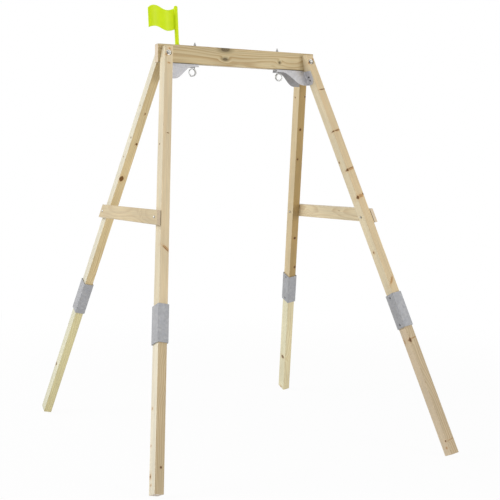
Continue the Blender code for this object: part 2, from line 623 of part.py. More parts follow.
def make_bracket(side_name):
    """A channel under the beam whose side plates flare with the legs and fold out onto their inner sides."""
    side = SIDES[side_name]
    top = BEAM_BOTTOM - CLEARANCE
    stop = fold_place(side, 0.0, 0.0).x - side * 2 * FLANGE_NOTCH
    tip = side * BRACKET_TIP_X
    shape = bmesh.new()

    def sheet(points):
        return shape.faces.new([shape.verts.new(point) for point in points])

    sheet([(tip, -BEAM_FACE, top), (stop, -BEAM_FACE, top), (stop, BEAM_FACE, top), (tip, BEAM_FACE, top)])
    flange_top = flange_edge(FLANGE_NOTCH)
    rounded = rounded_corner(Vector((flange_top, FLANGE_NOTCH)), Vector((flange_edge(FLANGE_DEPTH), FLANGE_DEPTH)),
                             Vector((plate_face(BRACKET_DEPTH), BRACKET_DEPTH)), FLANGE_CORNER)
    for end in ENDS.values():
        fold_top = fold_place(side, end * plate_face(FLANGE_NOTCH), FLANGE_NOTCH)
        fold_low = fold_place(side, end * plate_face(BRACKET_DEPTH), BRACKET_DEPTH)
        outline = [(tip, 0.0), (tip, BRACKET_TIP_DEPTH)] + [(side * x, depth) for x, depth in plate_sweep()]
        sheet([(x, end * plate_face(depth), top - depth) for x, depth in outline]
              + [fold_low, fold_top]
              + [(stop, end * plate_face(depth), top - depth) for depth in (FLANGE_NOTCH, 0.0)])
        sheet([fold_top, fold_low] + [fold_place(side, end * y, depth) for y, depth in reversed(rounded)]
              + [fold_place(side, end * flange_top, FLANGE_NOTCH)])
    bmesh.ops.remove_doubles(shape, verts=shape.verts, dist=0.00001)
    bmesh.ops.recalc_face_normals(shape, faces=shape.faces)
    shape.faces.ensure_lookup_table()
    if shape.faces[0].normal.z < 0:
        bmesh.ops.reverse_faces(shape, faces=shape.faces)
    folds = [edge for edge in shape.edges if len(edge.link_faces) == 2]
    bmesh.ops.bevel(shape, geom=folds, offset=BEND, segments=3, profile=0.5, affect="EDGES")
    bracket = mesh_object(shape, "corner_bracket_" + side_name, Matrix(), PARTS, "galvanised")
    wall = bracket.modifiers.new("Wall", "SOLIDIFY")
    wall.thickness = SHEET
    wall.offset = -1.0
    wall.use_even_offset = True
    hook = side * HOOK_X
    rods = [(HOOK_ROD + CLEARANCE, (hook, 0.0, top - 2 * SHEET), (hook, 0.0, top + SHEET))]
    inward = inner_side(side)
    for end in ENDS.values():
        for along in FLANGE_SCREWS.values():
            spot = flange_screw_place(side, end, along)
            rods.append((FLANGE_SCREW_SHANK + CLEARANCE, spot - inward * SHEET, spot + inward * 3 * SHEET))
    combine(bracket, cutter("bracket_holes_" + side_name, rods), "DIFFERENCE")


def make_bracket_screws(side_name, end_name):
    """Two screws through a flange into the leg's inner side."""
    side, end = SIDES[side_name], ENDS[end_name]
    inward = inner_side(side)
    for row, along in FLANGE_SCREWS.items():
        floor = flange_screw_place(side, end, along) + inward * (SHEET + 2 * CLEARANCE)
        screw(f"bracket_screw_{row}_{end_name}_{side_name}", FLANGE_SCREW_HEAD, FLANGE_SCREW_HEAD_THICK,
              FLANGE_SCREW_SHANK, FLANGE_SCREW_LENGTH, aim(floor, inward))


def hook_path():
    """The middle of the rod and its thickness, from the stud's point down, in the shank's frame."""
    across = LOOP_OFFSET + LOOP_BEND
    rise = math.sqrt((LOOP_RADIUS + LOOP_BEND) ** 2 - across ** 2)
    swept = math.atan2(rise, across)
    bend_z = rise - LOOP_DROP
    top = BEAM_HEIGHT + STUD_ABOVE
    path = [Vector((0.0, 0.0, z)) for z in (top, top - STUD_POINT, BEAM_HEIGHT / 2, bend_z)]
    for step in range(1, 5):
        angle = -swept * step / 5
        path.append(Vector((LOOP_BEND * (math.cos(angle) - 1), 0.0, bend_z + LOOP_BEND * math.sin(angle))))
    start = math.pi - swept
    steps = round((LOOP_END - start) / LOOP_STEP)
    for step in range(steps + 1):
        angle = start + (LOOP_END - start) * step / steps
        forward = LOOP_PITCH * (angle - start) / (2 * math.pi)
        path.append(Vector((LOOP_OFFSET + LOOP_RADIUS * math.cos(angle), -forward,
                            LOOP_RADIUS * math.sin(angle) - LOOP_DROP)))
    path.append(path[-1] + (path[-1] - path[-2]).normalized() * HOOK_ROD / 3)
    thickness = [0.5] + [1.0] * (len(path) - 2) + [0.7]
    return list(zip(path, thickness))


def make_hook(side_name):
    """A stud that ends in a spiral loop, with its nut on top and its collar under the bracket.

    Both hooks are the same piece, and the left one is turned half round.
    """
    side = SIDES[side_name]
    half_turn = Matrix.Rotation(math.pi if side < 0 else 0.0, 4, "Z")
    frame = Matrix.Translation((side * HOOK_X, 0.0, BEAM_BOTTOM)) @ half_turn
    pivot = joint_place("hook_pivot_" + side_name, frame)
    curve = bpy.data.curves.new("swing_hook", "CURVE")
    curve.dimensions = "3D"
    curve.bevel_depth = HOOK_ROD
    curve.bevel_resolution = 4
    curve.use_fill_caps = True
    path = hook_path()
    spline = curve.splines.new("POLY")
    spline.points.add(len(path) - 1)
    for point, (spot, thick) in zip(spline.points, path):
        point.co = (*spot, 1.0)
        point.radius = thick
    name = "swing_hook_" + side_name
    hook = place(bpy.data.objects.new(name, curve), name, frame, PARTS, "zinc")
    hole = HOOK_ROD + CLEARANCE
    beam_top = frame @ Matrix.Translation((0.0, 0.0, BEAM_HEIGHT))
    washer("hook_washer_" + side_name, hole, HOOK_WASHER, HOOK_WASHER_THICK,
           beam_top @ Matrix.Translation((0.0, 0.0, CLEARANCE)))
    top_nut = nut("hook_nut_" + side_name, hole, HOOK_NUT_FLATS, HOOK_NUT_HEIGHT,
                  beam_top @ Matrix.Translation((0.0, 0.0, HOOK_WASHER_THICK + 2 * CLEARANCE)))
    under = frame @ Matrix.Translation((0.0, 0.0, -SHEET - 2 * CLEARANCE - HOOK_COLLAR_THICK))
    collar = washer("hook_collar_" + side_name, hole, HOOK_COLLAR, HOOK_COLLAR_THICK, under)
    for piece in (hook, top_nut, collar):
        hang(piece, pivot, frame)


def joint_place(name, frame):
    pivot = bpy.data.objects.new(name, None)
    pivot.empty_display_size = 0.03
    return place(pivot, name, frame, PARTS)


def hang(piece, pivot, frame):
    piece.parent = pivot
    piece.matrix_parent_inverse = frame.inverted()


def make_flag():
    """A pole and a waving panel in one moulding, which turns on a spigot screwed to the beam."""
    low = FOOT_HEIGHT + CLEARANCE
    socket = SPIGOT_RADIUS + SPIGOT_FIT
    socket_top = FOOT_HEIGHT + SPIGOT_HEIGHT + SOCKET_SPACE
    dome = [(POLE_RADIUS * math.cos(angle), POLE_HEIGHT - POLE_RADIUS * (1 - math.sin(angle)))
            for angle in map(math.radians, (*DOME_ANGLES, 0))]
    profile = [(0.0, POLE_HEIGHT)] + dome + [(POLE_RADIUS, low), (socket, low), (socket, socket_top),
                                             (0.0, socket_top)]
    flag = turned("flag", profile, FLAG_FRAME, PARTS, "lime_plastic")
    combine(flag, make_panel(), "UNION")
    baked(flag)
    hang(flag, joint_place("flag_pivot", FLAG_FRAME), FLAG_FRAME)


def make_panel():
    """The flag's waving sheet, from inside the pole outward."""
    shape = bmesh.new()
    bmesh.ops.create_grid(shape, x_segments=PANEL_COLUMNS, y_segments=PANEL_ROWS, size=0.5)
    start = POLE_RADIUS / 2
    for vert in shape.verts:
        out = start + (PANEL_LENGTH - start) * (vert.co.x + 0.5)
        turn = 2 * math.pi * out / PANEL_PERIOD
        crest = math.cos(turn - 2 * math.pi * PANEL_CREST / PANEL_PERIOD)
        past = max(0.0, out - PANEL_DROOP_START) / (PANEL_LENGTH - PANEL_DROOP_START)
        droop = PANEL_DROOP * past ** 2 * (vert.co.y + 0.5)
        height = PANEL_MIDDLE + PANEL_HEIGHT * vert.co.y + PANEL_RISE * crest - droop
        vert.co = (-out, PANEL_WAVE * math.sin(turn), height)
    panel = mesh_object(shape, "flag_panel", FLAG_FRAME, CUTTERS)
    wall = panel.modifiers.new("Wall", "SOLIDIFY")
    wall.thickness = PANEL_THICK
    wall.offset = 0.0
    return hide(panel)


def make_flag_foot():
    """The foot and its hollow spigot. Its underside is cut level, because the pole leans."""
    hole = FLAG_SCREW + CLEARANCE
    bore = FLAG_SCREW_HEAD + 2 * CLEARANCE
    top = FOOT_HEIGHT + SPIGOT_HEIGHT
    edge = FOOT_HEIGHT / 4
    section = [(bore, top), (SPIGOT_RADIUS - edge / 2, top), (SPIGOT_RADIUS, top - edge / 2),
               (SPIGOT_RADIUS, FOOT_HEIGHT), (FOOT_RADIUS - edge, FOOT_HEIGHT), (FOOT_RADIUS, FOOT_HEIGHT - edge),
               (FOOT_RADIUS, -edge), (hole, -edge), (hole, FOOT_FLOOR), (bore, FOOT_FLOOR)]
    foot = turned("flag_foot", section, FLAG_FRAME, PARTS, "lime_plastic", closed=True)
    wide = 2 * FOOT_RADIUS
    level = BEAM_TOP + CLEARANCE
    below = box("level_foot", (FLAG_X - wide, -wide, level - wide), (FLAG_X + wide, wide, level), Matrix(), CUTTERS)
    combine(foot, hide(below), "DIFFERENCE")
    baked(foot)
    floor = FLAG_FRAME @ Matrix.Translation((0.0, 0.0, FOOT_FLOOR + CLEARANCE))
    screw("flag_screw", FLAG_SCREW_HEAD, FLAG_SCREW_HEAD_THICK, FLAG_SCREW, FLAG_SCREW_LENGTH, floor)


def build():
    make_beam()
    for side_name in SIDES:
        for end_name in ENDS:
            make_leg(side_name, end_name)
            make_sleeve(side_name, end_name)
            make_sleeve_screws(side_name, end_name)
            make_rail_bolt(side_name, end_name)
            make_bracket_screws(side_name, end_name)
        make_rail(side_name)
        make_leg_bolt(side_name)
        make_bracket(side_name)
        make_hook(side_name)
    make_flag()
    make_flag_foot()


clear_scene()
PARTS = new_collection("wooden_swing_frame")
CUTTERS = new_collection("cutters")
MATERIALS = make_materials()
FLAG_FRAME = Matrix.Translation((FLAG_X, 0.0, BEAM_TOP)) @ Matrix.Rotation(-FLAG_TILT, 4, "Y")
build()
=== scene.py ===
"""The looks of the wooden swing frame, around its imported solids. Metres, +Z up, -Y to the front."""

import math

import bmesh
import bpy
from mathutils import Matrix, Vector


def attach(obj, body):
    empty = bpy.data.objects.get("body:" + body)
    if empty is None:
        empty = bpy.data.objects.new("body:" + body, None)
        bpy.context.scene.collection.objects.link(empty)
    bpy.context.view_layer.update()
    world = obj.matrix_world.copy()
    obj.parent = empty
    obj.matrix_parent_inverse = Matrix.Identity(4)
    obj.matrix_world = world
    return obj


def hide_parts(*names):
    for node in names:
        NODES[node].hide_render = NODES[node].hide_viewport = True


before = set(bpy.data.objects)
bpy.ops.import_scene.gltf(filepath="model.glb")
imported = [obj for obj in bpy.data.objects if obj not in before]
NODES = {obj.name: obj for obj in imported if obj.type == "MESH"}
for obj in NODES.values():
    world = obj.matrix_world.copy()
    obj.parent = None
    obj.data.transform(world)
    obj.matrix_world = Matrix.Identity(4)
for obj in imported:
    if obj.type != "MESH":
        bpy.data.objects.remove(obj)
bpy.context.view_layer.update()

TURN = 2 * math.pi

# The frame's sizes that the looks need, as in its source
BEAM_TOP = 2.090
BEAM_HEIGHT = 0.095
BEAM_FACE = 0.0225                  # half the beam's thickness
SPLAY = math.radians(22.75)         # a leg, seen from the side
LEAN = math.radians(10.7)           # a pair of legs, seen from the front
LEG_WIDE = 0.045
LEG_DEEP = 0.065
LEG_BOLT_X = 0.4185
RAIL_DROP = 0.8525                  # a rail's middle line, down its leg pair from the leg bolt
RAIL_OFF = 0.0338                   # a rail's middle line, out from its leg pair's plane
RAIL_SEAM = 0.0226                  # where a rail lies on the legs, out from the same plane
BEAM_MIDDLE = BEAM_TOP - BEAM_HEIGHT / 2
BEAM_BOTTOM = BEAM_TOP - BEAM_HEIGHT
LEG_REACH = LEG_DEEP / math.cos(SPLAY) - BEAM_HEIGHT / 2 * math.tan(SPLAY) / math.cos(LEAN)
LEG_FACE = BEAM_FACE + LEG_REACH    # a leg's outer face at the leg bolt's height
SIDES = {"left": -1, "right": 1}
ENDS = {"front": -1, "back": 1}
CORNERS = [(end, side) for end in ENDS for side in SIDES]


def srgb(red, green, blue):
    """A colour written from 0 to 255, as the linear values that a shader takes."""
    made = [((c / 255 + 0.055) / 1.055) ** 2.4 if c > 10 else c / 255 / 12.92 for c in (red, green, blue)]
    return (*made, 1.0)


# ---------------------------------------------------------------- frames of the pieces

def side_frame(side):
    """On the leg bolt, in the plane of one leg pair: X square to the pair, Y front to back, Z up."""
    across = Vector((math.cos(LEAN), 0.0, side * math.sin(LEAN)))
    depth = Vector((0.0, 1.0, 0.0))
    turn = Matrix((across, depth, across.cross(depth))).transposed().to_4x4()
    return Matrix.Translation((side * LEG_BOLT_X, 0.0, BEAM_MIDDLE)) @ turn


def leg_frame(side, end):
    """On a leg's middle line beside the leg bolt: X across, Y deep, Z up along the leg."""
    turn = Matrix.Rotation(end * SPLAY, 4, "X")
    inward = turn @ Vector((0.0, -end * LEG_DEEP / 2, 0.0))
    return side_frame(side) @ Matrix.Translation(Vector((0.0, end * LEG_FACE, 0.0)) + inward) @ turn


def along_frame(length, height, place):
    """A frame whose Z runs along a piece and whose Y is its height."""
    length, height = Vector(length), Vector(height)
    turn = Matrix((height.cross(length), height, length)).transposed().to_4x4()
    return Matrix.Translation(place) @ turn


def rail_frame(side):
    """In the middle of a rail's length and height, on its leg pair's plane: Y up, Z to the back."""
    at = side_frame(side)
    up = at.to_3x3() @ Vector((0.0, 0.0, 1.0))
    return along_frame((0.0, 1.0, 0.0), up, at @ Vector((0.0, 0.0, -RAIL_DROP)))


# ---------------------------------------------------------------- node building

WHITE = (1.0, 1.0, 1.0, 1.0)
BLACK = (0.0, 0.0, 0.0, 1.0)
MIX_SOCKETS = (0, 6, 7)             # a colour mix's share, first and second colour
MIX_RESULT = 2
MOST = (0.3, 0.7)                   # most values of a noise lie between these


class Graph:
    """The nodes of one material or world, built from short calls that return sockets."""

    def __init__(self, owner):
        self.owner = owner
        owner.use_nodes = True
        self.tree = owner.node_tree
        self.tree.nodes.clear()

    def add(self, kind, values, **settings):
        node = self.tree.nodes.new("ShaderNode" + kind)
        for key, value in settings.items():
            setattr(node, key, value)
        for key, value in values.items():
            if isinstance(value, bpy.types.NodeSocket):
                self.tree.links.new(value, node.inputs[key])
            else:
                node.inputs[key].default_value = value
        return node

    def math(self, operation, *values):
        return self.add("Math", dict(enumerate(values)), operation=operation).outputs[0]

    def vector(self, operation, *values):
        node = self.add("VectorMath", dict(enumerate(values)), operation=operation)
        return node.outputs["Value" if operation in ("LENGTH", "DOT_PRODUCT") else "Vector"]

    def mix(self, share, first, second, blend="MIX"):
        values = dict(zip(MIX_SOCKETS, (share, first, second)))
        return self.add("Mix", values, data_type="RGBA", blend_type=blend).outputs[MIX_RESULT]

    def noise(self, vector, scale, detail=2.0, roughness=0.5, output="Fac"):
        values = {"Vector": vector, "Scale": scale, "Detail": detail, "Roughness": roughness}
        return self.add("TexNoise", values).outputs[output]

    def stretch(self, vector, scales, seed=0.0):
        """The vector scaled along its axes, moved so that each piece has its own part of the noise."""
        values = {"Vector": vector, "Location": (seed, -seed, 0.7 * seed), "Scale": scales}
        return self.add("Mapping", values).outputs[0]

    def crystals(self, vector, scale):
        """Three random values for each crystal, which are the same all over it."""
        cells = self.add("TexVoronoi", {"Vector": vector, "Scale": scale}, feature="F1").outputs["Color"]
        return self.add("SeparateColor", {0: cells}).outputs

    def span(self, value, low, high, to_low=0.0, to_high=1.0, smooth=False):
        """The value between low and high, brought to a new range."""
        kind = "SMOOTHSTEP" if smooth else "LINEAR"
        return self.add("MapRange", dict(enumerate((value, low, high, to_low, to_high))),
                        interpolation_type=kind).outputs[0]

    def ramp(self, value, stops):
        """The value looked up on a line through (place, level) stops."""
        node = self.add("ValToRGB", {0: value})
        band = node.color_ramp.elements
        while len(band) < len(stops):
            band.new(0.5)
        for element, (place, level) in zip(band, stops):
            element.position = place
            element.color = (level, level, level, 1.0)
        return node.outputs[0]

    def grey(self, value, level):
        """A grey that varies with the value, for multiplying a colour: one at its middle."""
        return self.math("ADD", self.math("MULTIPLY", self.math("SUBTRACT", value, 0.5), level), 1.0)

    def bump(self, height, distance, strength):
        return self.add("Bump", {"Height": height, "Distance": distance, "Strength": strength}).outputs[0]

    def seen(self):
        """One where the camera or a reflection looks, and nought where the thing only lights another."""
        path = self.add("LightPath", {}).outputs
        bent = self.math("MAXIMUM", path["Is Glossy Ray"], path["Is Transmission Ray"])
        return self.math("MAXIMUM", path["Is Camera Ray"], bent)

    def finish(self, **values):
        shader = self.add("BsdfPrincipled", {key.replace("_", " "): value for key, value in values.items()})
        self.add("OutputMaterial", {0: shader.outputs[0]})
        return self.owner


def material_graph(name):
    return Graph(bpy.data.materials.new(name))


def dress(node, material):
    """Gives a solid its material."""
    NODES[node].data.materials.clear()
    NODES[node].data.materials.append(material)


# ---------------------------------------------------------------- timber

PINE = {
    "light": srgb(226, 204, 162),       # a year ring's pale wood and its dark line
    "dark": srgb(176, 136, 82),
    "knot": srgb(144, 100, 50),         # a dark knot, its core and the warmer wood round it
    "core": srgb(104, 68, 28),
    "halo": srgb(206, 168, 116),
    "burl": srgb(176, 130, 80),         # a pale knot
    "smoke": srgb(146, 128, 90),        # the beam's greyer knots and their core, whose colour also paints the shade in a rail's joint
    "bog_and_joint_shade": srgb(104, 84, 54),
    "end": srgb(222, 202, 178),         # the sawn ends
}
# For each board, what its colour is multiplied by on the faces that are square to its Y and on its other faces,
# and how strongly its year rings show. The tones are partly the board's own colour and partly painted light and
# shade.
BOARDS = {
    "top_beam": ((0.87, 0.90, 0.88), (0.87, 0.90, 0.88), 1.0),
    "upper_leg_front_left": ((1.11, 1.18, 1.32), (1.02, 1.15, 1.37), 0.8),
    "upper_leg_front_right": ((1.04, 1.07, 1.13), (1.11, 1.23, 1.43), 0.8),
    "upper_leg_back_left": ((1.00, 1.03, 0.98), (1.04, 1.26, 1.69), 0.8),
    "upper_leg_back_right": ((0.65, 0.58, 0.41), (0.96, 1.00, 1.02), 0.8),
    "lower_leg_front_left": ((0.79, 0.80, 0.82), (1.22, 1.44, 1.92), 0.7),
    "lower_leg_front_right": ((0.77, 0.79, 0.86), (0.99, 1.05, 1.25), 0.8),
    "lower_leg_back_left": ((0.98, 1.13, 1.08), (0.98, 1.22, 1.52), 0.6),
    "lower_leg_back_right": ((1.08, 1.22, 1.31), (1.14, 1.38, 1.64), 0.7),
    "cross_rail_left": ((0.83, 0.84, 0.81), (0.83, 0.84, 0.81), 0.5),
    "cross_rail_right": ((1.02, 1.09, 1.19), (1.02, 1.09, 1.19), 0.65),
}
# For each board, its dark knots, its pale knots, and the places where only the grain bends. A mark is the axis that
# its face is square to, where it lies across and along, its half width and half length, and its turn in degrees.
# On a leg it lies down from the leg bolt. The beam's two long thin dark marks at its lower front edge are painted
# shade.
MARKS = {
    "top_beam": (
        (("X", 0.0390, -0.078, 0.0105, 0.026, 0), ("X", -0.0125, -0.078, 0.0070, 0.014, 0),
         # the second mark on this line and the one on the next are painted shade along the beam's lower front edge,
         # above the brackets
         ("X", -0.0110, 0.2495, 0.0060, 0.0060, 0), ("X", -0.0470, 0.335, 0.0022, 0.095, 0),
         ("X", -0.0470, -0.330, 0.0022, 0.090, 0)),
        (),
        (("X", -0.014, 0.335, 0.012, 0.040, 0),)),
    "upper_leg_front_left": (
        (("Y", 0.0025, -1.0760, 0.0200, 0.0020, 38), ("Y", 0.0030, -0.4614, 0.0060, 0.0026, 0),
         ("X", 0.0085, -0.5110, 0.0060, 0.0046, 0)),
        (("Y", 0.0050, -1.0720, 0.0200, 0.0060, 38), ("Y", 0.002, 0.0225, 0.0060, 0.0060, 0),
         ("Y", 0.001, -0.0620, 0.0080, 0.0040, 0), ("Y", -0.0150, -0.0170, 0.0055, 0.0070, 0)),
        (("Y", -0.002, -0.5655, 0.020, 0.006, 0), ("Y", -0.004, -0.6610, 0.020, 0.006, 0),
         ("Y", -0.010, -1.0450, 0.012, 0.020, 0), ("Y", -0.0177, -1.2410, 0.006, 0.006, 0))),
    "upper_leg_front_right": (
        (("Y", -0.0190, -0.6480, 0.0060, 0.0080, 0), ("Y", 0.0010, -0.6400, 0.0200, 0.0018, -12),
         ("Y", -0.0175, -0.8090, 0.0072, 0.0110, 0), ("Y", 0.0190, -0.7950, 0.0046, 0.0060, 0),
         ("X", 0.0041, -1.1134, 0.0050, 0.0050, 0), ("Y", 0.0040, -0.1705, 0.0190, 0.0026, 0),
         ("X", 0.0173, -0.5846, 0.0050, 0.0060, 0), ("Y", -0.0190, -0.4200, 0.0046, 0.0050, 0),
         ("Y", 0.0020, -0.4170, 0.0200, 0.0022, -4)),
        (("Y", 0.0160, 0.0120, 0.0045, 0.0060, 0), ("Y", -0.0170, -0.0070, 0.0045, 0.0070, 0),
         ("Y", 0.0060, -0.4170, 0.0160, 0.0050, -4), ("Y", 0.0040, -0.6450, 0.0160, 0.0056, -12),
         ("Y", 0.0020, -0.8030, 0.0150, 0.0090, -12), ("Y", -0.0020, -1.2870, 0.0052, 0.0240, 34),
         ("X", 0.0041, -1.1134, 0.0080, 0.0080, 0)),
        (("Y", 0.0020, -0.9856, 0.016, 0.010, 0),)),
    "upper_leg_back_left": (
        (("X", 0.0043, -0.2821, 0.0050, 0.0040, 0), ("Y", 0.0060, -0.3107, 0.0032, 0.0060, 0),
         ("X", -0.0117, -0.4613, 0.0070, 0.0046, 0), ("Y", 0.0122, -0.4844, 0.0058, 0.0070, 0),
         ("X", 0.0054, -0.5801, 0.0060, 0.0040, 0), ("Y", -0.0090, -0.6939, 0.0125, 0.0150, 0)),
        (),
        (("Y", -0.004, -0.93, 0.010, 0.016, 0),)),
    "upper_leg_back_right": (
        (("Y", 0.0170, -0.1757, 0.0050, 0.0050, 0), ("Y", -0.0023, -0.3720, 0.0072, 0.0090, 0),
         ("Y", -0.0103, -0.5569, 0.0052, 0.0060, 0), ("Y", 0.0118, -1.2882, 0.0066, 0.0080, 0),
         ("Y", 0.0004, -1.0819, 0.0080, 0.0080, 0), ("X", 0.0087, -0.1877, 0.0070, 0.0044, 0)),
        (),
        (("X", 0.010, -0.60, 0.010, 0.016, 0),)),
    "lower_leg_front_left": (
        (("Y", 0.0049, -2.1054, 0.0052, 0.0060, 0), ("X", 0.0197, -2.1407, 0.0060, 0.0050, 0)),
        (("X", 0.0197, -2.1407, 0.0100, 0.0120, 0), ("X", 0.0115, -2.179, 0.0070, 0.0050, 0),
         ("X", 0.0130, -1.8380, 0.0070, 0.0070, 0), ("X", 0.0200, -2.0050, 0.0050, 0.0060, 0)),
        (("Y", 0.0020, -1.700, 0.012, 0.040, 0),)),
    "lower_leg_front_right": (
        (("Y", -0.0180, -1.6110, 0.0055, 0.0120, 0), ("X", -0.021, -2.1501, 0.0070, 0.0050, 0)),
        (("Y", 0.0020, -1.6040, 0.0180, 0.0024, -8), ("X", 0.0196, -1.6100, 0.0050, 0.0140, 0),
         ("X", -0.0075, -2.1843, 0.0080, 0.0060, 0), ("Y", 0.0040, -2.1480, 0.0160, 0.0018, -8)),
        ()),
    "lower_leg_back_left": (
        (("X", 0.0150, -1.9160, 0.0100, 0.0110, 0),),
        (),
        (("Y", 0.009, -1.78, 0.010, 0.012, 0),)),
    "lower_leg_back_right": (
        (("X", -0.0050, -1.9710, 0.0170, 0.0110, 0),),
        (("X", 0.0009, -2.2142, 0.0090, 0.0080, 0),),
        ()),
    "cross_rail_left": (
        (),
        (),
        (("X", 0.016, -0.21, 0.012, 0.014, 0),)),
    "cross_rail_right": (
        (("X", 0.016, -0.10, 0.0022, 0.0060, 0),),
        (),
        (("X", -0.017, 0.26, 0.012, 0.014, 0),)),
}
# Each noise's scale across, deep and along a board
DRIFT = (2.0, 2.0, 1.6)
WOBBLE = (60.0, 60.0, 3.5)
FIBRE = (760.0, 760.0, 14.0)
STREAK = (95.0, 95.0, 2.2)
BROAD = (9.0, 9.0, 2.6)
LINE = (240.0, 240.0, 3.4)
RING = 0.0052                           # a year's growth
RING_LEVELS = ((0.0, 0.12), (0.45, 0.30), (0.78, 0.95), (0.90, 1.0), (1.0, 0.12))      # how dark it is through a year
RING_SHARE = (0.28, 0.85)               # how much of that darkness shows where streaks are weak and strong
PITH_WANDER = 0.055                     # how far the pith strays along a board
RING_WOBBLE = 0.0028                    # how uneven the rings are
SPOT_DEPTH = 0.026                      # a mark's half length into the board
KNOT_PUSH = 0.0045                      # how far the rings bend round a knot, and elsewhere
SWIRL_PUSH = 0.0080
# Where, in a mark's own radii, each thing about it begins and ends
PUSH_REACH = (0.6, 3.6)
HALO_REACH = (2.5, 0.9)
KNOT_REACH = (1.12, 0.84)
KNOT_RAGGED = 0.16                      # how uneven a knot's rim is
KNOT_RINGS = 17.0                       # how close a knot's own rings lie
SQUARE = (0.62, 0.78)                   # from which cosine a face counts as square to an axis, and fully so
END_SHARE = 0.65                        # how much of the ends' own colour shows
SEAM_SHADE_REACH = (0.0050, 0.0026)           # how near to the joint its dark line of painted shade begins and is full
SEAM_SHADE_SHARE = 0.85
FIBRE_TONE = 0.25                       # how strongly each noise shades the wood
BROAD_TONE = 0.42
STREAK_TONE = 0.34
LINE_TONE = 0.34
WOOD_GLOSS = (0.48, 0.60)               # the roughness of the smoothest fibre and of the coarsest


def nearest(graph, point, spots, skin):
    """The distance to the nearest of some marks, in their own radii."""
    found = None
    for face, across, along, wide, long, turn in spots:
        if face == "X":
            values = ((skin[0], across, along), (math.radians(turn), 0.0, 0.0), (SPOT_DEPTH, wide, long))
        else:
            values = ((across, skin[1], along), (0.0, math.radians(turn), 0.0), (wide, SPOT_DEPTH, long))
        mapped = graph.add("Mapping", dict(enumerate((point, *values))), vector_type="TEXTURE")
        away = graph.vector("LENGTH", mapped.outputs[0])
        found = away if found is None else graph.math("MINIMUM", found, away)
    return found


